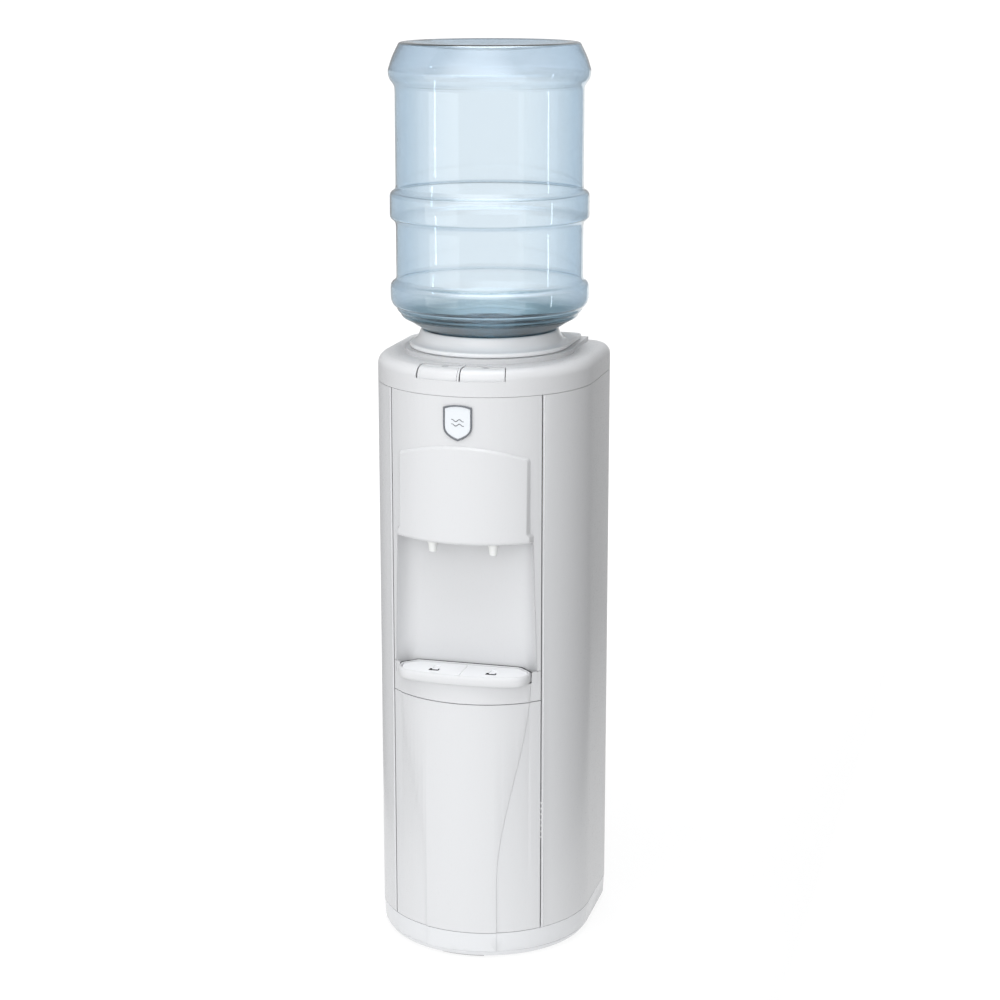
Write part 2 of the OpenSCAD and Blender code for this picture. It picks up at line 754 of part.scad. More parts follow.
module room_riser() color("white")
    translate([0, bottle_y, 0]) rotate(riser_dir) difference() {
        union() {
            translate([riser_at, 0, outlet_z - 5]) cylinder(r = 5, h = 80);
            translate([riser_at, 0, outlet_z]) rotate([0, 90, 0]) cylinder(r = 4.6, h = 14);
        }
        translate([riser_at, 0, outlet_z]) cylinder(r = 3.5, h = 80);
        translate([riser_at, 0, outlet_z]) rotate([0, 90, 0]) cylinder(r = 3.4, h = 20);
    }

module evaporator_coil() color("peru")
    translate([0, bottle_y, 0]) rotate(90) sweep(helix(coil_r, 645, 715, 6, 24), 3, 8);

// Half of the tank's insulation: the front half, or the rear half
module foam(front) {
    difference() {
        translate([0, bottle_y, 0]) intersection() {
            difference() {
                translate([0, 0, 606]) cylinder(r = foam_r, h = tank_z1 - 606, $fn = 128);
                translate([0, 0, tank_z0]) cylinder(r = 87.8, h = 200, $fn = 128);
            }
            translate([-150, front ? -150 : 0, 600]) cube([300, 150, 200]);
        }
        for (s = [-1, 1]) towards_tap(s) cylinder(r = 5.2, h = 120);
        translate([-30, 60, 600]) cylinder(r = 5.5, h = 20);
        translate([-8, bottle_y + 80, 600]) cube([16, 40, 140]);
    }
}

module foam_front() color("lightyellow") foam(true);

module foam_rear() color("lightyellow") foam(false);

module tank_shelf() color("silver")
    difference() {
        translate([0, 0, 603]) linear_extrude(3) intersection() {
            plan(wall);
            translate([-150, -88]) square([300, 202]);
        }
        translate([-30, 60, 600]) cylinder(r = 5.5, h = 20);
        for (x = [-120, 120], y = [0, 60]) translate([x, y, 600]) cylinder(r = 6, h = 10);
    }

// ---- cooling ----

module compressor_plate() color("silver")
    translate([-90, -30, 11.5]) cube([180, 155, plate_z - 11.5]);

mount_places = [for (x = [-60, 60], y = [-44, 44]) [comp_x + x, comp_y + y]];

module compressor_grommets() color("dimgray")
    for (p = mount_places) translate([p[0], p[1], plate_z]) {
        cylinder(r = 9, h = 16);
        cylinder(r = 4.9, h = 20);
        translate([0, 0, 19]) cylinder(r = 8, h = 3);
    }

module compressor() color([0.12, 0.12, 0.13]) {
    translate([comp_x, comp_y, 0]) {
        difference() {
            translate([-72, -54, plate_z + 16]) cube([144, 108, 3]);
            for (x = [-60, 60], y = [-44, 44]) translate([x, y, plate_z]) cylinder(r = 5, h = 30);
        }
        rotate_extrude($fn = 96) polygon([[0, 32], [34, 32], [52, 42], [60, 54], [62, 70], [62, 102], [64, 102],
            [64, 107], [62, 107], [62, 138], [58, 156], [46, 167], [24, 173], [0, 174]]);
    }
    bar([-8, 92, 130], [-8, 112, 130], 3.6);
    bar([-76, 50, 130], [-92, 50, 130], 3);
}

module starter_box() color("black")
    difference() {
        translate([comp_x + 54, comp_y - 22, 78]) cube([28, 44, 60]);
        translate([comp_x, comp_y, 60]) cylinder(r = 64.1, h = 100, $fn = 96);
    }

module filter_drier() color("peru") {
    translate([92, 118, 0]) {
        translate([0, 0, 171]) cylinder(r1 = 3, r2 = 8, h = 8);
        translate([0, 0, 179]) cylinder(r = 8, h = 50);
        translate([0, 0, 229]) cylinder(r1 = 8, r2 = 2, h = 8);
    }
    sweep([[92, 118, 236], [92, 118, 550], [88, 119, 570], [60, 122, 590], [12, 122, 606], [5, 122, 630],
           [4, 122, 700], [2.5, 119, 712], [0, 112, 715.5], [0, bottle_y + coil_r + 3.2, 715.5]], 1.2, 8);
}

module suction_line() color("peru")
    sweep([[0, bottle_y + coil_r + 3.1, 645], [0, 108, 645], [-1, 113, 645], [-4, 120, 641], [-8, 124, 630], [-8, 125, 610],
           [-8, 125, 150], [-8, 123, 137], [-8, 118, 130.5], [-8, 115, 130], [-8, 112.1, 130]], 3, 10);

// The condenser's path, from the compressor's outlet to the drier
grid_path = concat(
    [[-92.1, 50, 130], [-95, 50, 130], [-99, 54, 132], [-100, 64, 140], [-100, 112, 190], [-98, 122, 205], [-grid_half, 124, 220],
     [-grid_half, 124, grid_top - 12], [-grid_half, 127, grid_top - 4], [-grid_half, 132, grid_top],
     [-grid_half, grid_y - 6, grid_top], [4 - grid_half, grid_y - 1, grid_top], [10 - grid_half, grid_y, grid_top]],
    [for (i = [0 : grid_rows - 2]) let (s = i % 2 == 0 ? 1 : -1, z = grid_top - (i + 0.5) * grid_step)
        for (a = [90 : -22.5 : -90])
            [s * (grid_half - 17 + grid_step / 2 * cos(a)), grid_y, z + grid_step / 2 * sin(a)]],
    [[grid_half - 10, grid_y, grid_z0], [grid_half - 4, grid_y - 1, grid_z0], [grid_half, grid_y - 6, grid_z0],
     [grid_half, 132, grid_z0], [95, 122, 151], [92.5, 118.4, 156], [92, 118, 162], [92, 118, 170.9]]);

module condenser_tube() color([0.1, 0.1, 0.1]) sweep(grid_path, tube_r, 10);

module condenser_wires() color([0.1, 0.1, 0.1])
    for (x = [-66 : 12 : 66], y = [-1, 1])
        translate([x, grid_y + y * (tube_r + wire_r), grid_z0 - 10])
            cylinder(r = wire_r, h = grid_top - grid_z0 + 20, $fn = 16);

module condenser_brackets() color("silver")
    for (x = [-74, 74], row = [1, grid_rows - 2]) difference() {
        translate([x - 2.5, body_back, grid_z0 + row * grid_step - 6]) cube([5, grid_y - body_back + 3.8, 12]);
        translate([x - 5, grid_y, grid_z0 + row * grid_step]) rotate([0, 90, 0]) cylinder(r = tube_r + 0.02, h = 10);
    }

// ---- back of the housing ----

module thermostat() color("gray") {
    translate([18, 119, 640]) cube([26, body_back - wall - 119, 44]);
    sweep([[18.5, 122, 672], [10, 122, 674], [5, 120, 676], [3.5, 112, 677], [3, 106, 679], [3, 104.6, 684]], 1, 8);
    translate([3, 104.6, 655]) cylinder(r = 2.4, h = 44);
}

// A socket's frame in the back panel, x from the middle, with a hollow of the given half height and depth
module back_frame(x, half_h, depth) {
    translate([x, 0, socket_z]) difference() {
        union() {
            translate([-17, body_back, -13]) cube([34, 2.5, 26]);
            translate([-13.8, body_back - 22, -9.8]) cube([27.6, 22.5, 19.6]);
        }
        translate([-11.5, body_back + 2.5 - depth, -half_h]) cube([23, depth + 5, 2 * half_h]);
    }
}

module power_switch() color("black") back_frame(-socket_x, 8, 19);

module switch_rocker() color("red")
    translate([-socket_x, body_back - 4, socket_z]) rotate([-9, 0, 0]) {
        intersection() {
            translate([-10.8, 0, 0]) rotate([0, 90, 0]) cylinder(r = 11.5, h = 21.6, $fn = 64);
            translate([-10.8, -6, -6]) cube([21.6, 30, 12]);
        }
    }

module power_inlet() color("black") {
    back_frame(socket_x, 8, 19);
    for (p = [[-7, 1], [7, 1], [0, 4]]) translate([socket_x + p[0] - 1, body_back - 17, socket_z + p[1] - 2])
        cube([2, 14, 4]);
}

module drain_hose() color("white")
    sweep([[-30, 60, 597.9], [-30, 61, 590], [-34, 68, 584], [-56, 90, drain_z], [-68, 104, drain_z],
           [drain_x, 110, drain_z], [drain_x, 119.9, drain_z]], 5, 10);

module drain_spout() color("white")
    translate([drain_x, 0, drain_z]) rotate([-90, 0, 0]) difference() {
        union() {
            translate([0, 0, 120]) cylinder(r = 5, h = 10);
            translate([0, 0, 130]) cylinder(r = 11, h = body_back - wall - 130);
            translate([0, 0, 130]) cylinder(r = 7.9, h = 22);
        }
        translate([0, 0, 119]) cylinder(r = 3.5, h = 40);
    }

module drain_cap() color("white")
    translate([drain_x, body_back + 0.6, drain_z]) rotate([-90, 0, 0]) difference() {
        cylinder(r = 11, h = 15.2);
        translate([0, 0, -1]) cylinder(r = 8.3, h = 13);
        for (i = [0 : 11]) rotate(30 * i) translate([11.6, 0, 2]) cylinder(r = 1.4, h = 20);
    }

module shell_screws() color("silver") {
    for (p = back_screw_places) translate([p[0], body_back, p[1]]) rotate([-90, 0, 0]) screw();
    for (s = [-1, 1], p = lid_screw_places) translate([s * p[0], p[1], lid_z - 3]) mirror([0, 0, 1]) screw(1.55, 12);
}

module wiring() color([0.15, 0.15, 0.17]) {
    sweep([[socket_x, 130, socket_z - 9.9], [socket_x, 130, 700], [64, 132, 692], [66, 132, 680], [66, 132, 260], [64, 126, 210],
           [56, 100, 172], [51, 58, 154], [50, 50, 146], [50, 50, 138.1]], 2.4, 8);
    sweep([[socket_x - 8, 130, socket_z - 9.9], [socket_x - 8, 130, 701], [46, 131, 696], [30, 131, 694],
           [-30, 131, 694], [-54, 131, 696], [-socket_x, 130, 701], [-socket_x, 130, socket_z - 9.9]], 2, 8);
}

// ---- nodes ----

base_plinth();
foot_pads();
front_foot();
side_panel_left();
side_panel_right();
back_panel();
lower_front_panel();
tray_apron();
front_fascia();
dispensing_hood();
alcove_liner();
top_lid();
badge_bezel();
badge_plate();
button_room();
button_cold();
button_axle();
drip_tray();
drip_grille();
tap_room();
tap_cold();
spout_room();
spout_cold();
plunger_room();
plunger_cold();
return_spring_room();
return_spring_cold();
rod_guide();
bottle_seat();
feed_probe();
seat_gasket();
bottle();
bottle_cap();
tank_lid();
cold_tank();
tank_baffle();
room_riser();
tap_hoses();
evaporator_coil();
foam_front();
foam_rear();
tank_shelf();
compressor();
compressor_plate();
compressor_grommets();
starter_box();
filter_drier();
suction_line();
condenser_tube();
condenser_wires();
condenser_brackets();
thermostat();
power_switch();
switch_rocker();
power_inlet();
drain_hose();
drain_spout();
drain_cap();
shell_screws();
wiring();
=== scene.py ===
import json
import math

import bmesh
import bpy
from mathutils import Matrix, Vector

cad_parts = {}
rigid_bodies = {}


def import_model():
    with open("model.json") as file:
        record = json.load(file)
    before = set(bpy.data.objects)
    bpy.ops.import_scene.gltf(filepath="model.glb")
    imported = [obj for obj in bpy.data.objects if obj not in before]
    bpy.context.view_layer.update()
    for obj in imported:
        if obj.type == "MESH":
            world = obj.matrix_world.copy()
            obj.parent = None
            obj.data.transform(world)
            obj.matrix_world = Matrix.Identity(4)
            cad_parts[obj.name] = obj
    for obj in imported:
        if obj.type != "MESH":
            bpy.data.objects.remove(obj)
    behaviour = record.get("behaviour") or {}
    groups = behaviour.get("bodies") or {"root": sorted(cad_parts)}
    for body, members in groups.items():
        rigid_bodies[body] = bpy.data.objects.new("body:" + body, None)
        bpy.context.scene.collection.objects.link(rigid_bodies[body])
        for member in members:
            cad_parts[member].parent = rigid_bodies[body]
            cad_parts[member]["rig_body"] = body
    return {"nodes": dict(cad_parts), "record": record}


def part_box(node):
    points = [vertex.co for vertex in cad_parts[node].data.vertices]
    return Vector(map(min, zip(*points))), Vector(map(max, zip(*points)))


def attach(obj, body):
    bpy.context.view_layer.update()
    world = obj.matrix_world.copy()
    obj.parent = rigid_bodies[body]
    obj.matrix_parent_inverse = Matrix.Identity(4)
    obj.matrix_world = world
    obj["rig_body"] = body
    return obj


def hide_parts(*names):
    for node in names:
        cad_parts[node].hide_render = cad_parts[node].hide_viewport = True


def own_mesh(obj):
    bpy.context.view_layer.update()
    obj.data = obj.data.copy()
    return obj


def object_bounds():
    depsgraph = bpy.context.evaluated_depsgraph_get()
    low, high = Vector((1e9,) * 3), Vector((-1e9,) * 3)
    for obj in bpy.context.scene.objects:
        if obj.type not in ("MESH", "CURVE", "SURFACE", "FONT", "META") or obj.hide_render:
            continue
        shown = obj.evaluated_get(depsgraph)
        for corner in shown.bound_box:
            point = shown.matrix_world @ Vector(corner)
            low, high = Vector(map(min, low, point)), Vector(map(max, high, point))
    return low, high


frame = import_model()
cad_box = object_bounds()
MM = 0.001

# Driving sizes, from the frame: the body's half width, the bottle's top and its axis.
R_BODY = round(cad_box[1].x, 4)
TOP = round(cad_box[1].z, 4)
BOTTLE_Y = round(sum(corner.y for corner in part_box("bottle")) / 2, 4)


# ---------------------------------------------------------------- node helpers

class Nodes:
    """Builds one material's node tree with short calls."""

    def __init__(self, name):
        self.mat = bpy.data.materials.new(name)
        self.mat.use_nodes = True
        self.tree = self.mat.node_tree
        self.tree.nodes.clear()
        self.out = self.add("ShaderNodeOutputMaterial")
        self.bsdf = self.add("ShaderNodeBsdfPrincipled")
        self.link(self.bsdf.outputs[0], self.out.inputs["Surface"])
        self.coord = self.add("ShaderNodeTexCoord").outputs["Object"]

    def add(self, kind, **props):
        n = self.tree.nodes.new(kind)
        for k, v in props.items():
            setattr(n, k, v)
        return n

    def link(self, a, b):
        self.tree.links.new(a, b)

    def stretch(self, scale):
        m = self.add("ShaderNodeMapping")
        m.inputs["Scale"].default_value = scale
        self.link(self.coord, m.inputs["Vector"])
        return m.outputs[0]

    def noise(self, scale, detail=3.0, rough=0.5, vec=None, distort=0.0):
        n = self.add("ShaderNodeTexNoise")
        n.inputs["Scale"].default_value = scale
        n.inputs["Detail"].default_value = detail
        n.inputs["Roughness"].default_value = rough
        n.inputs["Distortion"].default_value = distort
        self.link(vec or self.coord, n.inputs["Vector"])
        return n.outputs["Fac"]

    def voronoi(self, scale, feature="F1", vec=None):
        n = self.add("ShaderNodeTexVoronoi", feature=feature)
        n.inputs["Scale"].default_value = scale
        self.link(vec or self.coord, n.inputs["Vector"])
        return n.outputs["Distance"]

    def ramp(self, fac, stops):
        r = self.add("ShaderNodeValToRGB")
        els = r.color_ramp.elements
        while len(els) < len(stops):
            els.new(0.5)
        for e, (p, c) in zip(els, stops):
            e.position = p
            e.color = (c, c, c, 1) if isinstance(c, (int, float)) else (*c, 1)
        self.link(fac, r.inputs[0])
        return r.outputs[0]

    def span(self, fac, a, b, lo=0.0, hi=1.0):
        m = self.add("ShaderNodeMapRange")
        for i, v in zip(("From Min", "From Max", "To Min", "To Max"), (a, b, lo, hi)):
            m.inputs[i].default_value = v
        self.link(fac, m.inputs["Value"])
        return m.outputs[0]

    def mix(self, fac, a, b, mode="MIX"):
        m = self.add("ShaderNodeMix", data_type="RGBA", blend_type=mode)
        for sock, v in ((m.inputs[0], fac), (m.inputs[6], a), (m.inputs[7], b)):
            if isinstance(v, (int, float)):
                sock.default_value = v
            elif isinstance(v, tuple):
                sock.default_value = (*v, 1)
            else:
                self.link(v, sock)
        return m.outputs[2]

    def maths(self, op, a, b=0.0):
        m = self.add("ShaderNodeMath", operation=op)
        for sock, v in ((m.inputs[0], a), (m.inputs[1], b)):
            if isinstance(v, (int, float)):
                sock.default_value = v
            else:
                self.link(v, sock)
        return m.outputs[0]

    def part(self, axis):
        s = self.add("ShaderNodeSeparateXYZ")
        self.link(self.coord, s.inputs[0])
        return s.outputs["XYZ".index(axis)]

    def bump(self, layers, edge=0.0):
        """layers: (height socket, distance in metres, strength). edge: radius of softened edges."""
        last = None
        if edge:
            b = self.add("ShaderNodeBevel", samples=4)
            b.inputs["Radius"].default_value = edge
            last = b.outputs[0]
        for height, dist, strength in layers:
            b = self.add("ShaderNodeBump")
            b.inputs["Strength"].default_value = strength
            b.inputs["Distance"].default_value = dist
            self.link(height, b.inputs["Height"])
            if last is not None:
                self.link(last, b.inputs["Normal"])
            last = b.outputs[0]
        if last is not None:
            self.link(last, self.bsdf.inputs["Normal"])

    def set(self, **values):
        names = {"base": "Base Color", "rough": "Roughness", "metal": "Metallic", "ior": "IOR",
                 "spec": "Specular IOR Level", "coat": "Coat Weight", "coat_rough": "Coat Roughness",
                 "trans": "Transmission Weight", "sss": "Subsurface Weight", "sheen": "Sheen Weight",
                 "aniso": "Anisotropic"}
        for k, v in values.items():
            sock = self.bsdf.inputs[names[k]]
            if isinstance(v, (int, float)):
                sock.default_value = v
            elif isinstance(v, tuple):
                sock.default_value = (*v, 1)
            else:
                self.link(v, sock)
        return self


def scaled(colour, by):
    """A colour times one number, or times one number for each of its channels, up to white."""
    factors = by if isinstance(by, tuple) else (by, by, by)
    return tuple(min(1, c * k) for c, k in zip(colour, factors))


def shell(name, base, rough=0.28, edge=0.0, dust=0.03, coat=0.0, spec=0.3):
    """Moulded or painted shell: fine orange peel, pigment grain, fine upright scratches, dust low down."""
    dusty_below, peel_depth = 0.05, 0.000012
    m = Nodes(name)
    grain = m.noise(900, 3, 0.6)
    fine = m.noise(2600, 2, 0.5)
    col = m.mix(grain, base, scaled(base, (0.97, 0.97, 0.975)))
    col = m.mix(m.span(fine, 0.0, 1.0, 0.0, 0.4), col, scaled(base, 1.02))
    low = m.span(m.part("Z"), dusty_below, 0.0, 0.0, dust * 4)
    col = m.mix(m.maths("MULTIPLY", low, m.noise(60, 5, 0.7)), col, scaled(base, (0.80, 0.77, 0.72)))
    gloss = m.noise(700, 3, 0.6)
    scratches = m.noise(1100, 2, 0.5, vec=m.stretch((1, 1, 0.05)))
    r = m.span(gloss, 0.0, 1.0, rough * 0.93, rough * 1.07)
    r = m.maths("ADD", r, m.span(scratches, 0.0, 1.0, -0.01, 0.01))
    m.set(base=col, rough=r, coat=coat, coat_rough=0.15, ior=1.48, spec=spec)
    m.bump([(m.noise(520, 2, 0.5), peel_depth, 0.35)], edge)
    return m.mat


def metal(name, base, rough, grain=(1, 1, 1), scale=220, depth=0.00002, stain=0.12, edge=0.0, aniso=0.0):
    """Bare metal with a grain, stretched along the axes where it is brushed, and faint stains."""
    m = Nodes(name)
    g = m.noise(scale, 4, 0.6, vec=m.stretch(grain))
    blotch = m.noise(18, 5, 0.6)
    col = m.mix(m.span(blotch, 0.35, 0.75), base, scaled(base, 1 - stain))
    col = m.mix(m.maths("MULTIPLY", g, 0.25), col, scaled(base, 0.82))
    m.set(base=col, metal=1.0, rough=m.span(g, 0.2, 0.8, rough * 0.75, rough * 1.3), aniso=aniso)
    m.bump([(g, depth, 0.5)], edge)
    return m.mat


def painted(name, base, rough=0.45, depth=0.00006, scale=900, edge=0.0004):
    """Grainy paint or powder coat, with pale patches and a few worn spots."""
    m = Nodes(name)
    g = m.noise(scale, 2, 0.6)
    blotch = m.noise(12, 5, 0.6)
    worn = m.span(m.noise(48, 6, 0.75), 0.62, 0.75, 0, 0.25)
    col = m.mix(m.span(blotch, 0.3, 0.75), base, tuple(min(1, c * 1.25 + 0.01) for c in base))
    col = m.mix(worn, col, tuple(min(1, c * 0.8 + 0.05) for c in base))
    m.set(base=col, rough=m.span(g, 0.2, 0.8, rough * 0.8, rough * 1.2), ior=1.5)
    m.bump([(g, depth, 0.6)], edge)
    return m.mat


def rubbery(name, base, rough=0.65, sss=0.0):
    """Rubber or silicone with a pale bloom."""
    m = Nodes(name)
    g = m.noise(420, 4, 0.7)
    bloom = m.noise(30, 5, 0.7)
    col = m.mix(m.span(bloom, 0.4, 0.75), base, tuple(min(1, c * 1.15 + 0.02) for c in base))
    m.set(base=col, rough=m.span(bloom, 0.3, 0.7, rough * 0.85, min(1, rough * 1.15)), sss=sss)
    m.bump([(g, 0.00008, 0.5)])
    return m.mat


def foam_mat(name, base):
    """Sprayed foam: open cells darkened in their pits as painted shade, yellowed in patches."""
    m = Nodes(name)
    cells = m.voronoi(260)
    # Painted shade: darker in the cells' pits, where the bump is lowest.
    col = m.mix(m.span(cells, 0.0, 0.7), scaled(base, 0.72), base)
    col = m.mix(m.span(m.noise(14, 4, 0.6), 0.4, 0.7), col, scaled(base, (0.98, 0.9, 0.72)))
    m.set(base=col, rough=0.85)
    m.bump([(cells, 0.0005, 0.8), (m.noise(900, 2, 0.5), 0.0002, 0.5)])
    return m.mat


def clear(name, tint, rim, dome, neck, absorb, density, rough=0.02, ior=1.55):
    """Clear tinted plastic, deeper in colour seen edge on and in the thick dome, and dark teal towards the neck
    as painted shade of the shaded seat seen through it.
    """
    dome_from, dome_to = 1.188, 1.206
    neck_shade_from, neck_shade_to = 0.893, 0.874
    m = Nodes(name)
    facing = m.add("ShaderNodeLayerWeight").outputs["Facing"]
    col = m.mix(m.span(facing, 0.08, 0.55), tint, rim)
    col = m.mix(m.span(m.part("Z"), dome_from, dome_to, 0.0, 0.6), col, dome)
    # Painted shade: dark teal low down, for the shaded funnel seen through the neck.
    col = m.mix(m.span(m.part("Z"), neck_shade_from, neck_shade_to), col, neck)
    m.set(base=col, trans=1.0, ior=ior, rough=m.span(m.noise(40, 5, 0.7), 0.35, 0.8, rough, rough * 2.6))
    waves = m.noise(9, 2, 0.5, vec=m.stretch((1, 1, 0.4)))
    m.bump([(waves, 0.0012, 0.35), (m.noise(600, 2, 0.5), 0.00001, 0.3)])
    v = m.add("ShaderNodeVolumeAbsorption")
    v.inputs["Color"].default_value = (*absorb, 1)
    v.inputs["Density"].default_value = density
    m.link(v.outputs[0], m.out.inputs["Volume"])
    return m.mat


# The first three whites are lighter copies of the body's white for single pieces, painted light for the light
# those pieces catch; every other name is a slot of the frame.
MATS = {
    "button_painted_light_white": shell("button_painted_light_white", (0.645, 0.65, 0.66), rough=0.2, spec=0.4),
    "base_painted_light_white": shell("base_painted_light_white", (0.68, 0.69, 0.705), rough=0.24, spec=0.35),
    "painted_highlight_white": shell("painted_highlight_white", (0.86, 0.87, 0.885), rough=0.14, spec=0.5),
    "white_shell": shell("white_shell", (0.635, 0.64, 0.65)),
    "back_steel": painted("back_steel", (0.62, 0.63, 0.63), 0.5),
    "rubber": rubbery("rubber", (0.035, 0.035, 0.036)),
    "bezel_chrome": metal("bezel_chrome", (0.20, 0.21, 0.23), 0.16, scale=600, depth=0.000005,
                          stain=0.05, edge=0.0004),
    "badge_face": shell("badge_face", (0.70, 0.73, 0.76), rough=0.2, edge=0.0002, dust=0.0, coat=0.6),
    "axle_steel": metal("axle_steel", (0.55, 0.55, 0.54), 0.3, edge=0.0002),
    "tap_white": shell("tap_white", (0.82, 0.83, 0.82), rough=0.35, edge=0.0004, dust=0.0),
    "rod_grey": painted("rod_grey", (0.32, 0.33, 0.34), 0.4, depth=0.00002),
    "spring_steel": metal("spring_steel", (0.5, 0.5, 0.48), 0.28),
    "silicone": rubbery("silicone", (0.72, 0.74, 0.73), 0.4, sss=0.2),
    # The bottle's neck colour is painted shade, for the shaded seat seen through it.
    "bottle_clear": clear("bottle_clear", tint=(0.915, 0.93, 0.952), rim=(0.67, 0.74, 0.82),
                          dome=(0.80, 0.85, 0.92), neck=(0.24, 0.35, 0.40),
                          absorb=(0.0, 0.40, 0.56), density=72),
    "cap_blue": shell("cap_blue", (0.03, 0.13, 0.48), rough=0.35, edge=0.0004, dust=0.0, coat=0.1),
    "stainless": metal("stainless", (0.6, 0.6, 0.59), 0.26, grain=(1, 1, 0.02), aniso=0.4),
    "copper": metal("copper", (0.66, 0.33, 0.19), 0.34, stain=0.45),
    "foam": foam_mat("foam", (0.80, 0.75, 0.55)),
    "zinc_steel": metal("zinc_steel", (0.52, 0.54, 0.54), 0.42, scale=90, stain=0.2),
    "black_steel": painted("black_steel", (0.02, 0.02, 0.022), 0.35),
    "black_plastic": painted("black_plastic", (0.025, 0.025, 0.026), 0.5, depth=0.00008, scale=1400),
    "wire_black": rubbery("wire_black", (0.02, 0.02, 0.022), 0.45),
    "rocker_red": shell("rocker_red", (0.50, 0.02, 0.015), rough=0.3, edge=0.0005, dust=0.0, coat=0.2),
}
SLOT_OF = {s["node"]: s["material_slot"] for s in frame["record"]["subparts"]}


for node, o in frame["nodes"].items():
    o.data.materials.clear()
    o.data.materials.append(MATS[SLOT_OF[node]])


# ---------------------------------------------------------------- mesh helpers

def new_piece(name, bm, mat, body, replaces=(), angle=35):
    """A smooth-shaded piece that rides a body, in place of the CAD nodes it replaces. Frees bm."""
    mesh = bpy.data.meshes.new(name)
    bmesh.ops.recalc_face_normals(bm, faces=bm.faces)
    bm.to_mesh(mesh)
    bm.free()
    o = bpy.data.objects.new(name, mesh)
    bpy.context.scene.collection.objects.link(o)
    mesh.materials.append(mat)
    for p in mesh.polygons:
        p.use_smooth = True
    mesh.set_sharp_from_angle(angle=math.radians(angle))
    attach(o, body)
    if replaces:
        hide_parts(*replaces)
    return o


def lathe(profile, centre=(0, 0), segments=192, closed=True):
    """Revolves (r, z) points about a vertical axis."""
    bm = bmesh.new()
    rings = []
    for r, z in profile:
        if r < 1e-7:
            rings.append([bm.verts.new((centre[0], centre[1], z))])
        else:
            rings.append([bm.verts.new((centre[0] + r * math.cos(2 * math.pi * k / segments),
                                        centre[1] + r * math.sin(2 * math.pi * k / segments), z))
                          for k in range(segments)])
    pairs = list(zip(rings, rings[1:] + ([rings[0]] if closed else [])))
    if not closed:
        pairs = pairs[:len(rings) - 1]
    for a, b in pairs:
        if len(a) == 1 and len(b) == 1:
            continue
        for k in range(segments):
            j = (k + 1) % segments
            if len(a) == 1:
                bm.faces.new((a[0], b[j], b[k]))
            elif len(b) == 1:
                bm.faces.new((a[k], a[j], b[0]))
            else:
                bm.faces.new((a[k], a[j], b[j], b[k]))
    return bm


def spline(points, per=6):
    """Smooths a polyline of (r, z) points by Catmull-Rom."""
    out = []
    n = len(points)
    for i in range(n - 1):
        p0, p1, p2, p3 = points[max(i - 1, 0)], points[i], points[i + 1], points[min(i + 2, n - 1)]
        for k in range(per):
            t = k / per
            out.append(tuple(
                0.5 * (2 * b + (c - a) * t + (2 * a - 5 * b + 4 * c - d) * t * t
                       + (3 * b - a - 3 * c + d) * t ** 3)
                for a, b, c, d in zip(p0, p1, p2, p3)))
    out.append(points[-1])
    return out


def smooth_step(t):
    """0 to 1 with soft ends, as t goes from 0 to 1."""
    t = min(max(t, 0.0), 1.0)
    return t * t * (3 - 2 * t)


# Pieces whose white is a lighter copy of the body's, painted light, in place of their slot's finish.
FINISH = {"drip_grille": "painted_highlight_white", "button_room": "button_painted_light_white", "button_cold": "button_painted_light_white",
          "base_plinth": "base_painted_light_white"}


def refine(node, edge=0.0004, angle=28):
    """A CAD node's shape as one welded, smooth-shaded skin whose sharp edges are rounded off."""
    src = frame["nodes"][node]
    bm = bmesh.new()
    bm.from_mesh(src.data)
    bmesh.ops.remove_doubles(bm, verts=bm.verts, dist=2e-6)
    bmesh.ops.dissolve_limit(bm, angle_limit=math.radians(0.4), verts=bm.verts, edges=bm.edges,
                             delimit={"NORMAL"})
    mat = MATS[FINISH.get(node, SLOT_OF[node])]
    o = new_piece(node + "_skin", bm, mat, src["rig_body"], [node], angle=angle)
    if edge:
        mod = o.modifiers.new("edges", "BEVEL")
        mod.width, mod.segments, mod.limit_method = edge, 2, "ANGLE"
        mod.angle_limit = math.radians(angle)
        mod.harden_normals = True
    return o


def paint_slot_shade(o, lows, highs):
    """Gives the upright faces inside a box a black finish, painted shade for the dark inside of a slot seen
    from above.
    """
    o.data.materials.append(MATS["black_plastic"])
    for f in o.data.polygons:
        if abs(f.normal.z) < 0.5 and all(a < c < b for a, b, c in zip(lows, highs, f.center)):
            f.material_index = len(o.data.materials) - 1


def bend(a, b, c, d, n=8):
    """Points rounding corner b of the path a, b, c from distance d."""
    a, b, c = Vector(a), Vector(b), Vector(c)
    p, q = b + (a - b).normalized() * d, b + (c - b).normalized() * d
    steps = [i / n for i in range(n + 1)]
    return [tuple((1 - t) ** 2 * p + 2 * t * (1 - t) * b + t * t * q) for t in steps]


def rings_mesh(rings, cap_first=True, cap_last=True, loop=True):
    """Joins rings of equally many (x, y, z) points into one skin."""
    bm = bmesh.new()
    made = [[bm.verts.new(p) for p in r] for r in rings]
    n = len(rings[0])
    for a, b in zip(made, made[1:]):
        for k in range(n if loop else n - 1):
            j = (k + 1) % n
            bm.faces.new((a[k], a[j], b[j], b[k]))
    if cap_first:
        bm.faces.new(made[0][::-1])
    if cap_last:
        bm.faces.new(made[-1])
    return bm


def tube(path, r, sides=8):
    """A round line along points, with closed ends."""
    pts = [Vector(p) for p in path]
    rings = []
    for i, p in enumerate(pts):
        d = (pts[min(i + 1, len(pts) - 1)] - pts[max(i - 1, 0)]).normalized()
        side = Vector((1, 0, 0)) if abs(d.z) > 0.9 else Vector((0, 0, 1))
        u = side.cross(d).normalized()
        w = d.cross(u)
        turns = [2 * math.pi * k / sides for k in range(sides)]
        rings.append([tuple(p + r * (math.cos(t) * u + math.sin(t) * w)) for t in turns])
    return rings_mesh(rings)


# ---------------------------------------------------------------- bottle

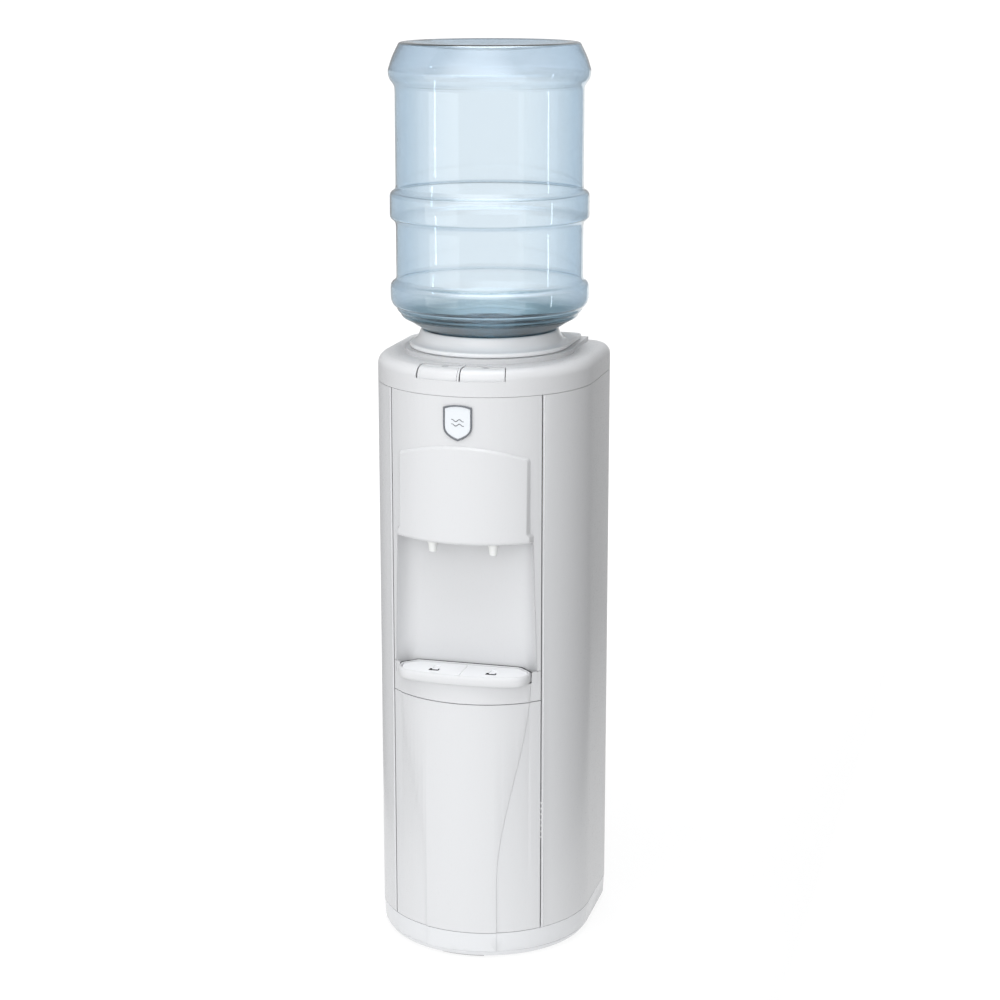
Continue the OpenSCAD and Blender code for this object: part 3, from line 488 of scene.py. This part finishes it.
def bottle_outline():
    """(radius, height) down the outside; spline() makes the curves between the points."""
    dome = [(0.0, TOP - 0.009), (0.060, TOP - 0.008), (0.096, TOP - 0.003), (0.108, TOP - 0.0006),
            (0.116, TOP - 0.0002), (0.1208, TOP - 0.0016), (0.1235, TOP - 0.006)]
    shoulder_hoop = [(0.1300, 1.2235), (0.1348, 1.2095), (0.1357, 1.2050), (0.1352, 1.1990), (0.1335, 1.1940),
                     (0.1300, 1.1890), (0.1278, 1.1850), (0.1270, 1.1790)]
    upper_barrel = [(0.1270, 1.1500), (0.1270, 1.1000), (0.1270, 1.0580)]
    middle_hoop = [(0.1272, 1.0520), (0.1284, 1.0478), (0.1325, 1.0448), (0.1346, 1.0415), (0.1350, 1.0370),
                   (0.1350, 1.0260), (0.1350, 1.0150), (0.1343, 1.0110), (0.1312, 1.0078), (0.1284, 1.0045),
                   (0.1272, 1.0000)]
    lower_barrel = [(0.1270, 0.9940), (0.1270, 0.9640), (0.1270, 0.9340)]
    foot_hoop = [(0.1273, 0.9290), (0.1290, 0.9255), (0.1326, 0.9225), (0.1346, 0.9190), (0.1350, 0.9140),
                 (0.1350, 0.9060), (0.1347, 0.9010), (0.1336, 0.8970), (0.1318, 0.8935), (0.1284, 0.8905),
                 (0.1270, 0.8880)]
    cone = [(0.1255, 0.8850), (0.1222, 0.8815), (0.1210, 0.8790), (0.1190, 0.8765), (0.1145, 0.8738),
            (0.1082, 0.8702), (0.0932, 0.8612), (0.0800, 0.8530), (0.0622, 0.8414), (0.0462, 0.8294),
            (0.0362, 0.8194)]
    neck = [(0.0302, 0.8112), (0.0272, 0.8030), (0.0270, 0.7950), (0.0270, 0.7522)]
    return dome + shoulder_hoop + upper_barrel + middle_hoop + lower_barrel + foot_hoop + cone + neck


def bottle_shell(wall=0.0019):
    """The bottle upside down, with an even wall and an open neck."""
    outer = spline(bottle_outline(), 4)
    inner = []
    for i, (r, z) in enumerate(outer):
        a, b = outer[max(i - 1, 0)], outer[min(i + 1, len(outer) - 1)]
        d = Vector((b[0] - a[0], b[1] - a[1])).normalized()
        inner.append((max(r + wall * d[1], 0.0), z - wall * d[0]))
    inner[0] = (0.0, outer[0][1] - wall)
    bm = lathe(outer + inner[::-1], (0, BOTTLE_Y), 224, closed=False)
    new_piece("bottle_shell", bm, MATS["bottle_clear"], "bottle", ["bottle"], angle=80)


bottle_shell()


# ---------------------------------------------------------------- bottle seat

SEAT_R, SEAT_BACK, SEAT_CORNER = 0.110, 0.096, 16
PLATE_TOP, PLATE_FOOT, PLATE_HOLE_R = 0.8415, 0.8356, 0.0990


def millimetres(points):
    return [(r * MM, z * MM) for r, z in points]


def seat_funnel():
    """The turned part: skirt, flare and funnel, and the underside, as (radius, height) in millimetres."""
    skirt = [(101, 823), (101, 835.6)]
    flare = [(108.6, 835.6), (109.6, 836.4), (110, 838.4), (109.7, 840.4), (108.4, 841.5), (106, 842.3),
             (103, 843.7), (100, 846.4), (97.6, 850.2), (95.8, 854.2), (94.5, 857.2), (93.2, 858.9),
             (91.4, 859.3), (89.6, 858.2), (88, 857.0), (80, 852), (62, 840.2), (46, 828.2), (38.5, 820.6),
             (35.5, 812)]
    underside = [(35.5, 744), (7.2, 744), (7.2, 740), (38, 740), (38, 812.6), (40.6, 819.4), (47.6, 826.2),
                 (63.2, 838), (81, 849.6), (90, 854.4), (92.4, 854.4), (94.6, 848.4), (98.5, 839), (98.5, 823)]
    ring = millimetres(skirt) + spline(millimetres(flare), 4) + millimetres(underside)
    return lathe(ring, (0, BOTTLE_Y), 192, closed=True)


def seat_edge(theta, inset):
    """The plate's edge at an angle: round in front, square with soft corners behind."""
    c, s = math.cos(theta), math.sin(theta)
    r = SEAT_R
    if s > 0:
        r = ((abs(c) / SEAT_R) ** SEAT_CORNER + (s / SEAT_BACK) ** SEAT_CORNER) ** (-1 / SEAT_CORNER)
    r -= inset
    return (r * c, BOTTLE_Y + r * s)


def seat_plate(steps=240):
    """The flat plate round the flare, as a closed ring with rounded edges."""
    angles = [2 * math.pi * k / steps for k in range(steps)]
    plate = []
    for inset, z in ((0.0102, PLATE_FOOT), (0.0010, PLATE_FOOT), (0.0002, 0.8364), (0.0, 0.8380),
                     (0.0003, 0.8402), (0.0014, 0.8412), (0.0030, 0.8414), (0.0060, PLATE_TOP)):
        plate.append([(*seat_edge(t, inset), z) for t in angles])
    for z in (PLATE_TOP, PLATE_FOOT):
        plate.append([(PLATE_HOLE_R * math.cos(t), BOTTLE_Y + PLATE_HOLE_R * math.sin(t), z) for t in angles])
    return rings_mesh(plate + [plate[0]], cap_first=False, cap_last=False)


def seat_shell():
    plate_bm = seat_plate()
    bmesh.ops.remove_doubles(plate_bm, verts=plate_bm.verts, dist=1e-6)
    plate_mesh = bpy.data.meshes.new("plate")
    plate_bm.to_mesh(plate_mesh)
    plate_bm.free()
    bm = seat_funnel()
    bm.from_mesh(plate_mesh)
    # The seat takes the lighter white, a painted highlight for the front light its flare catches.
    new_piece("seat_shell", bm, MATS["painted_highlight_white"], "seat", ["bottle_seat"], angle=40)


seat_shell()


# ---------------------------------------------------------------- hood over the taps

HOOD_LOW, HOOD_TOP, HOOD_HALF = 0.5985, 0.727, 0.0912
HOOD_CORNER = 0.008


def hood_top_at(x):
    """Height of the hood's top edge above the floor at x: a flat arc with rounded corners."""
    x = abs(x)
    half, rise = 0.083, 0.015
    arc_r = (half * half + rise * rise) / (2 * rise)
    if x <= half:
        return HOOD_TOP - arc_r + math.sqrt(arc_r * arc_r - x * x)
    k = min((x - half) / HOOD_CORNER, 1.0)
    return HOOD_TOP - rise - HOOD_CORNER + HOOD_CORNER * math.sqrt(max(1 - k * k, 0.0))


def hood_face(cols=120, rows=80):
    """Rows of (x, radius from the bow's axis, height), from the lip up: a pad raised most at its foot."""
    foot_high, top_high, proud = 0.0068, 0.0028, 0.0002
    side_blend, crown_blend = 0.0034, 0.0040
    flare_below, flare_over, flare_wide = 0.607, 0.004, 0.0036
    grid = []
    for j in range(rows + 1):
        t = 1 - (1 - j / rows) ** 1.6
        row = []
        for i in range(cols + 1):
            s = math.sin(math.pi / 2 * (2 * i / cols - 1))
            top = hood_top_at(s * HOOD_HALF)
            z = HOOD_LOW + (top - HOOD_LOW) * t
            half = HOOD_HALF + flare_wide * smooth_step((flare_below - z) / flare_over)
            x = s * half
            high = foot_high - (foot_high - top_high) * (z - HOOD_LOW) / 0.128
            side = smooth_step((half - abs(x)) / side_blend)
            crown = smooth_step((top - z) / crown_blend)
            row.append((x, R_BODY + proud + high * side * crown, z))
        grid.append(row)
    return grid


def hood_lip(foot, radius=0.0045, steps=8):
    """Rows that turn the pad's foot inwards through a quarter round."""
    lip = []
    for k in range(1, steps + 1):
        a = math.radians(90 * k / steps)
        row = []
        for x, r, z in foot:
            f = min(1.0, (r - R_BODY + 0.002) / radius)
            row.append((x, r - radius * f * (1 - math.cos(a)), z - radius * math.sin(a)))
        lip.append(row)
    return lip


def hood_skin():
    grid = hood_face()
    lip = hood_lip(grid[0])
    under = [[(x, r, z) for x, _, _ in lip[-1]] for r, z in ((0.1455, 0.6005), (0.1462, 0.594))]
    rows = under + lip[::-1] + grid
    rings = [[(x, -math.sqrt(r * r - x * x), z) for x, r, z in row] for row in rows]
    bm = rings_mesh(rings, cap_first=False, cap_last=False, loop=False)
    new_piece("hood_skin", bm, MATS["white_shell"], "cabinet", ["dispensing_hood"], angle=60)


hood_skin()


# ---------------------------------------------------------------- alcove

HOOD_Z, TRAY_Z = 0.596, 0.413
ALCOVE_CORNER, ALCOVE_BACK = 0.084, -0.0935


def alcove_row(z):
    """The liner in plan at one height: two splayed walls and a back wall, and a lip over the fascia's edge."""
    side = 0.099 - 0.005 * (z - TRAY_Z) / (HOOD_Z + 0.006 - TRAY_Z)
    edge_y = 0.0006 - math.sqrt(R_BODY ** 2 - side ** 2)
    d = 0.005 + 0.010 * smooth_step((z - 0.414) / 0.03)
    corners = [(-ALCOVE_CORNER, ALCOVE_BACK), (ALCOVE_CORNER, ALCOVE_BACK)]
    left = bend((-side, edge_y), *corners, d, 12)
    right = bend(*corners, (side, edge_y), d, 12)
    lip = [(side, edge_y), (side + 0.0004, edge_y - 0.0016)]
    plan = [(-x, y) for x, y in lip[::-1]] + left + right + lip
    return [(x, y, z) for x, y in plan]


heights = [0.3978, 0.404, 0.412, 0.416, 0.420, 0.425, 0.430, 0.437, 0.444]
heights += [0.46 + 0.02 * k for k in range(7)]
heights += [0.594, 0.598, 0.6025]
bm = rings_mesh([alcove_row(z) for z in heights], loop=False)
new_piece("alcove_skin", bm, MATS["white_shell"], "cabinet", ["alcove_liner"], angle=50)


# ---------------------------------------------------------------- drip tray

def tray_outline(inset):
    """The tray in plan, drawn in by inset: a bowed front, straight sides and a narrower back."""
    front_r, front_centre = 0.309 - inset, 0.153
    side = 0.092 - inset
    back = -0.0949 - inset
    back_half = 0.073 - 0.4 * inset
    shoulder = -0.113 - 0.4 * inset
    back_corner, shoulder_corner, front_corner = 0.004, 0.003, 0.020

    def front(x):
        return (x, front_centre - math.sqrt(front_r * front_r - x * x))

    pts = bend((-side, shoulder), (-back_half, back), (back_half, back), back_corner, 5)
    pts += bend((-back_half, back), (back_half, back), (side, shoulder), back_corner, 5)
    pts += bend((back_half, back), (side, shoulder), (side, -0.140), shoulder_corner, 5)
    pts += bend((side, shoulder), front(side), front(side - 0.030), front_corner, 12)
    pts += [front(-0.004 * i) for i in range(-16, 17)]
    pts += bend(front(0.030 - side), front(-side), (-side, shoulder), front_corner, 12)
    pts += bend((-side, -0.140), (-side, shoulder), (-back_half, back), shoulder_corner, 5)
    return pts


def tray_skin():
    """The tray from its foot over the rim to its floor, painted black as the shade seen through the grille's
    slots, as (inset, height) in millimetres.
    """
    steps = [(4.2, 398.0), (2.2, 398.3), (0.9, 399.3), (0.25, 401.0), (0.0, 403.4), (0.0, 406.6), (0.25, 409.0),
             (0.9, 410.9), (1.9, 412.1), (2.9, 412.6), (3.6, 412.4), (3.95, 411.6), (4.0, 410.6), (4.0, 402.4),
             (4.6, 400.8), (6.5, 400.2)]
    bm = rings_mesh([[(x, y, z * MM) for x, y in tray_outline(i * MM)] for i, z in steps])
    tray = new_piece("tray_skin", bm, MATS["white_shell"], "tray", ["drip_tray"], angle=50)
    # Painted shade: the floor under the grille is black, for the dark seen through the slots.
    tray.data.materials.append(MATS["black_plastic"])
    tray.data.polygons[len(tray.data.polygons) - 1].material_index = 1


def tray_gap_shade(height=0.4119, radius=0.0006, behind=-0.1175):
    """A dark line along the back and sides of the tray's rim, painted shade for the gap between tray and
    alcove.
    """
    edge = sorted((p for p in tray_outline(-0.0002) if p[1] > behind), key=lambda p: p[0])
    bm = tube([(x, y, height) for x, y in edge], radius, 8)
    new_piece("tray_gap_shade", bm, MATS["wire_black"], "tray")


tray_skin()
# The dark line round the back of the tray is painted shade of the gap.
tray_gap_shade()


# ---------------------------------------------------------------- badge and button marks

def ribbon(path, width, thick, axis):
    """A raised stroke along points, with its flat side facing axis."""
    pts = [Vector(p) for p in path]
    up = Vector(axis)
    rings = []
    for i, p in enumerate(pts):
        d = (pts[min(i + 1, len(pts) - 1)] - pts[max(i - 1, 0)]).normalized()
        w = d.cross(up).normalized() * width / 2
        h = up * thick
        rings.append([tuple(q) for q in (p - w, p + w, p + w * 0.8 + h, p - w * 0.8 + h)])
    return rings_mesh(rings)


MARK = painted("mark_grey", (0.07, 0.075, 0.085), 0.4, depth=0.00001)
WAVE_HALF, WAVE_HIGH, BADGE_FACE_R = 0.010, 0.0014, 0.1500
BUTTON_TOP_Z = 0.82822


def badge_wave(z, steps=40):
    """Two waves across the badge's face at height z."""
    path = []
    for i in range(steps + 1):
        x = WAVE_HALF * (2 * i / steps - 1)
        swing = WAVE_HIGH * math.sin(i / steps * 4 * math.pi)
        path.append((x, -math.sqrt(BADGE_FACE_R ** 2 - x * x), z + swing))
    return path


def star_line(k, centre=(0.031, -0.1238), half=0.0052):
    """One of the three lines of the cold button's star."""
    a = math.radians(60 * k + 30)
    return [(centre[0] + math.cos(a) * half * t, centre[1] + math.sin(a) * half * t, BUTTON_TOP_Z)
            for t in (-1, -0.5, 0, 0.5, 1)]


def drop_line(centre=(-0.024, -0.1242), wide=0.0042, high=0.0050, steps=36):
    """The room button's ring, drawn in towards the front like a drop."""
    path = []
    for i in range(steps + 1):
        a = 2 * math.pi * i / steps
        half = wide * (0.55 + 0.45 * math.cos(a / 2) ** 2)
        path.append((centre[0] + half * math.sin(a), centre[1] + high * math.cos(a), BUTTON_TOP_Z))
    return path


def mark(name, path, body, width=0.0012, thick=0.00012, axis=(0, 0, 1)):
    new_piece(name, ribbon(path, width, thick, axis), MARK, body)


for k, z in enumerate((0.7615, 0.7555)):
    mark(f"badge_wave_{k}", badge_wave(z), "cabinet", 0.0011, 0.00025, (0, -1, 0))
for k in range(3):
    mark(f"cold_mark_{k}", star_line(k), "cold_button")
mark("room_mark", drop_line(), "room_button")


# ---------------------------------------------------------------- CAD shapes with rounded edges

MOULDED = ("front_fascia", "tray_apron", "lower_front_panel", "side_panel_left", "side_panel_right",
           "top_lid", "button_room", "button_cold", "drip_grille", "base_plinth", "badge_bezel",
           "badge_plate", "front_foot", "foot_pads", "spout_room", "spout_cold", "power_switch",
           "power_inlet", "switch_rocker", "drain_cap", "back_panel", "compressor", "starter_box")
ROUND = ("condenser_tube", "evaporator_coil", "suction_line", "filter_drier", "wiring", "drain_hose",
         "return_spring_room", "return_spring_cold", "condenser_wires", "thermostat")
for node in MOULDED:
    refine(node)
for node in ROUND:
    refine(node, edge=0.0, angle=50)

# The grille's two drain slots are seen from above, so their walls are painted black as shade.
SLOT_X, SLOT_HALF = 0.040, 0.0075
SLOT_FRONT, SLOT_BACK = -0.135, -0.126
SLOT_LOW, SLOT_HIGH = 0.40, 0.412
for x in (-SLOT_X, SLOT_X):
    paint_slot_shade(bpy.data.objects["drip_grille_skin"],
            (x - SLOT_HALF, SLOT_FRONT, SLOT_LOW), (x + SLOT_HALF, SLOT_BACK, SLOT_HIGH))

# The return springs, which shorten as far as their push rods travel, each get a mesh of their own.
for side in ("room", "cold"):
    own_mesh(bpy.data.objects[f"return_spring_{side}_skin"])


# ---------------------------------------------------------------- stage, light, camera

def area(name, size, power, where, target):
    """An area light at a place, aimed at a target, that the camera doesn't see."""
    light = bpy.data.lights.new(name, "AREA")
    light.shape = "RECTANGLE"
    light.size, light.size_y = size
    light.energy = power
    o = bpy.data.objects.new(name, light)
    bpy.context.scene.collection.objects.link(o)
    o.location = where
    o.rotation_euler = (Vector(target) - Vector(where)).to_track_quat("-Z", "Y").to_euler()
    o.visible_camera = False


# Each bright lobe of the sky: where it points, the cosines where it starts and is full, and its radiance.
SKY = (((0.02, -1.0, 0.25), 0.6, 1.0, 2.3),
       ((0, 0, 1), 0.7, 1.0, 5.0),
       ((0.25, 0.95, 0.0), 0.3, 0.9, 0.55))
SKY_DARK = 0.02


def studio_world():
    """A dim sky with bright lobes in front of, above and behind the object."""
    world = bpy.data.worlds.new("studio")
    world.use_nodes = True
    tree = world.node_tree
    bg = tree.nodes["Background"]
    coord = tree.nodes.new("ShaderNodeTexCoord").outputs["Generated"]
    total = None
    for aim, lo, hi, power in SKY:
        dot = tree.nodes.new("ShaderNodeVectorMath")
        dot.operation = "DOT_PRODUCT"
        dot.inputs[1].default_value = Vector(aim).normalized()
        tree.links.new(coord, dot.inputs[0])
        span = tree.nodes.new("ShaderNodeMapRange")
        span.interpolation_type = "SMOOTHSTEP"
        for i, v in zip(("From Min", "From Max", "To Min", "To Max"), (lo, hi, 0.0, power)):
            span.inputs[i].default_value = v
        tree.links.new(dot.outputs["Value"], span.inputs["Value"])
        if total is None:
            total = span.outputs[0]
        else:
            add = tree.nodes.new("ShaderNodeMath")
            tree.links.new(total, add.inputs[0])
            tree.links.new(span.outputs[0], add.inputs[1])
            total = add.outputs[0]
    plus = tree.nodes.new("ShaderNodeMath")
    plus.inputs[1].default_value = SKY_DARK
    tree.links.new(total, plus.inputs[0])
    bg.inputs[0].default_value = (0.985, 0.992, 1.0, 1)
    tree.links.new(plus.outputs[0], bg.inputs[1])
    bpy.context.scene.world = world


def floor():
    """A pale floor without an edge in sight, that glows a little, so that it stays white to the horizon."""
    bm = lathe([(0.0, 0.0), (1.0, 0.0), (4.0, 0.0), (16.0, 0.0), (90.0, 0.0)], (0, 0), 96, closed=False)
    mesh = bpy.data.meshes.new("floor")
    bmesh.ops.recalc_face_normals(bm, faces=bm.faces)
    bm.to_mesh(mesh)
    bm.free()
    o = bpy.data.objects.new("floor", mesh)
    bpy.context.scene.collection.objects.link(o)
    m = Nodes("floor")
    patches = m.span(m.noise(3, 3, 0.5), 0.3, 0.7)
    m.set(base=m.mix(patches, (0.150, 0.150, 0.150), (0.146, 0.147, 0.148)), rough=0.8)
    m.bsdf.inputs["Emission Color"].default_value = (1, 1, 1, 1)
    m.bsdf.inputs["Emission Strength"].default_value = 0.86
    m.bsdf.inputs["Specular IOR Level"].default_value = 0.0
    mesh.materials.append(m.mat)


def card(name, x, y0, y1, z1, strength):
    """A tall grey card beside the object, out of the camera's sight, that tones down one side."""
    bm = bmesh.new()
    bm.faces.new([bm.verts.new(p) for p in ((x, y0, 0.002), (x, y1, 0.002), (x, y1, z1), (x, y0, z1))])
    mesh = bpy.data.meshes.new(name)
    bm.to_mesh(mesh)
    bm.free()
    o = bpy.data.objects.new(name, mesh)
    bpy.context.scene.collection.objects.link(o)
    m = Nodes(name)
    m.set(base=(0.02, 0.02, 0.02), rough=1.0, spec=0.0)
    m.bsdf.inputs["Emission Color"].default_value = (1, 1, 1, 1)
    m.bsdf.inputs["Emission Strength"].default_value = strength
    mesh.materials.append(m.mat)
    o.visible_camera = o.visible_transmission = False


floor()
studio_world()
card("card_right", 0.45, -0.34, 1.7, 2.2, 0.33)
card("card_left", -0.45, -0.30, 0.9, 2.2, 0.45)
area("key_left", (3.7, 1.2), 8.5, (-2.52, -1.97, 0.8), (0, 0, 0.8))
area("strip_right", (0.08, 1.2), 3.6, (3.0, 0.0, 0.8), (0, 0, 0.8))

# The camera stands DIST from the bottle's axis, turned round it to the right, and looks down past it.
DIST, TURN, EYE = 3.116, math.radians(15.09), 1.370
LENS, PITCH, AIM_LEFT = 82.9, math.radians(13.60), math.radians(0.253)
cam_data = bpy.data.cameras.new("camera")
cam_data.sensor_width = 36
cam_data.lens = LENS
cam = bpy.data.objects.new("camera", cam_data)
bpy.context.scene.collection.objects.link(cam)
cam.location = (DIST * math.sin(TURN), BOTTLE_Y - DIST * math.cos(TURN), EYE)
yaw = TURN - AIM_LEFT
look = Vector((-math.sin(yaw) * math.cos(PITCH), math.cos(yaw) * math.cos(PITCH), -math.sin(PITCH)))
cam.rotation_euler = look.to_track_quat("-Z", "Y").to_euler()
cam_data.clip_start, cam_data.clip_end = 0.05, 60
bpy.context.scene.camera = cam
bpy.context.scene.view_settings.view_transform = "Standard"
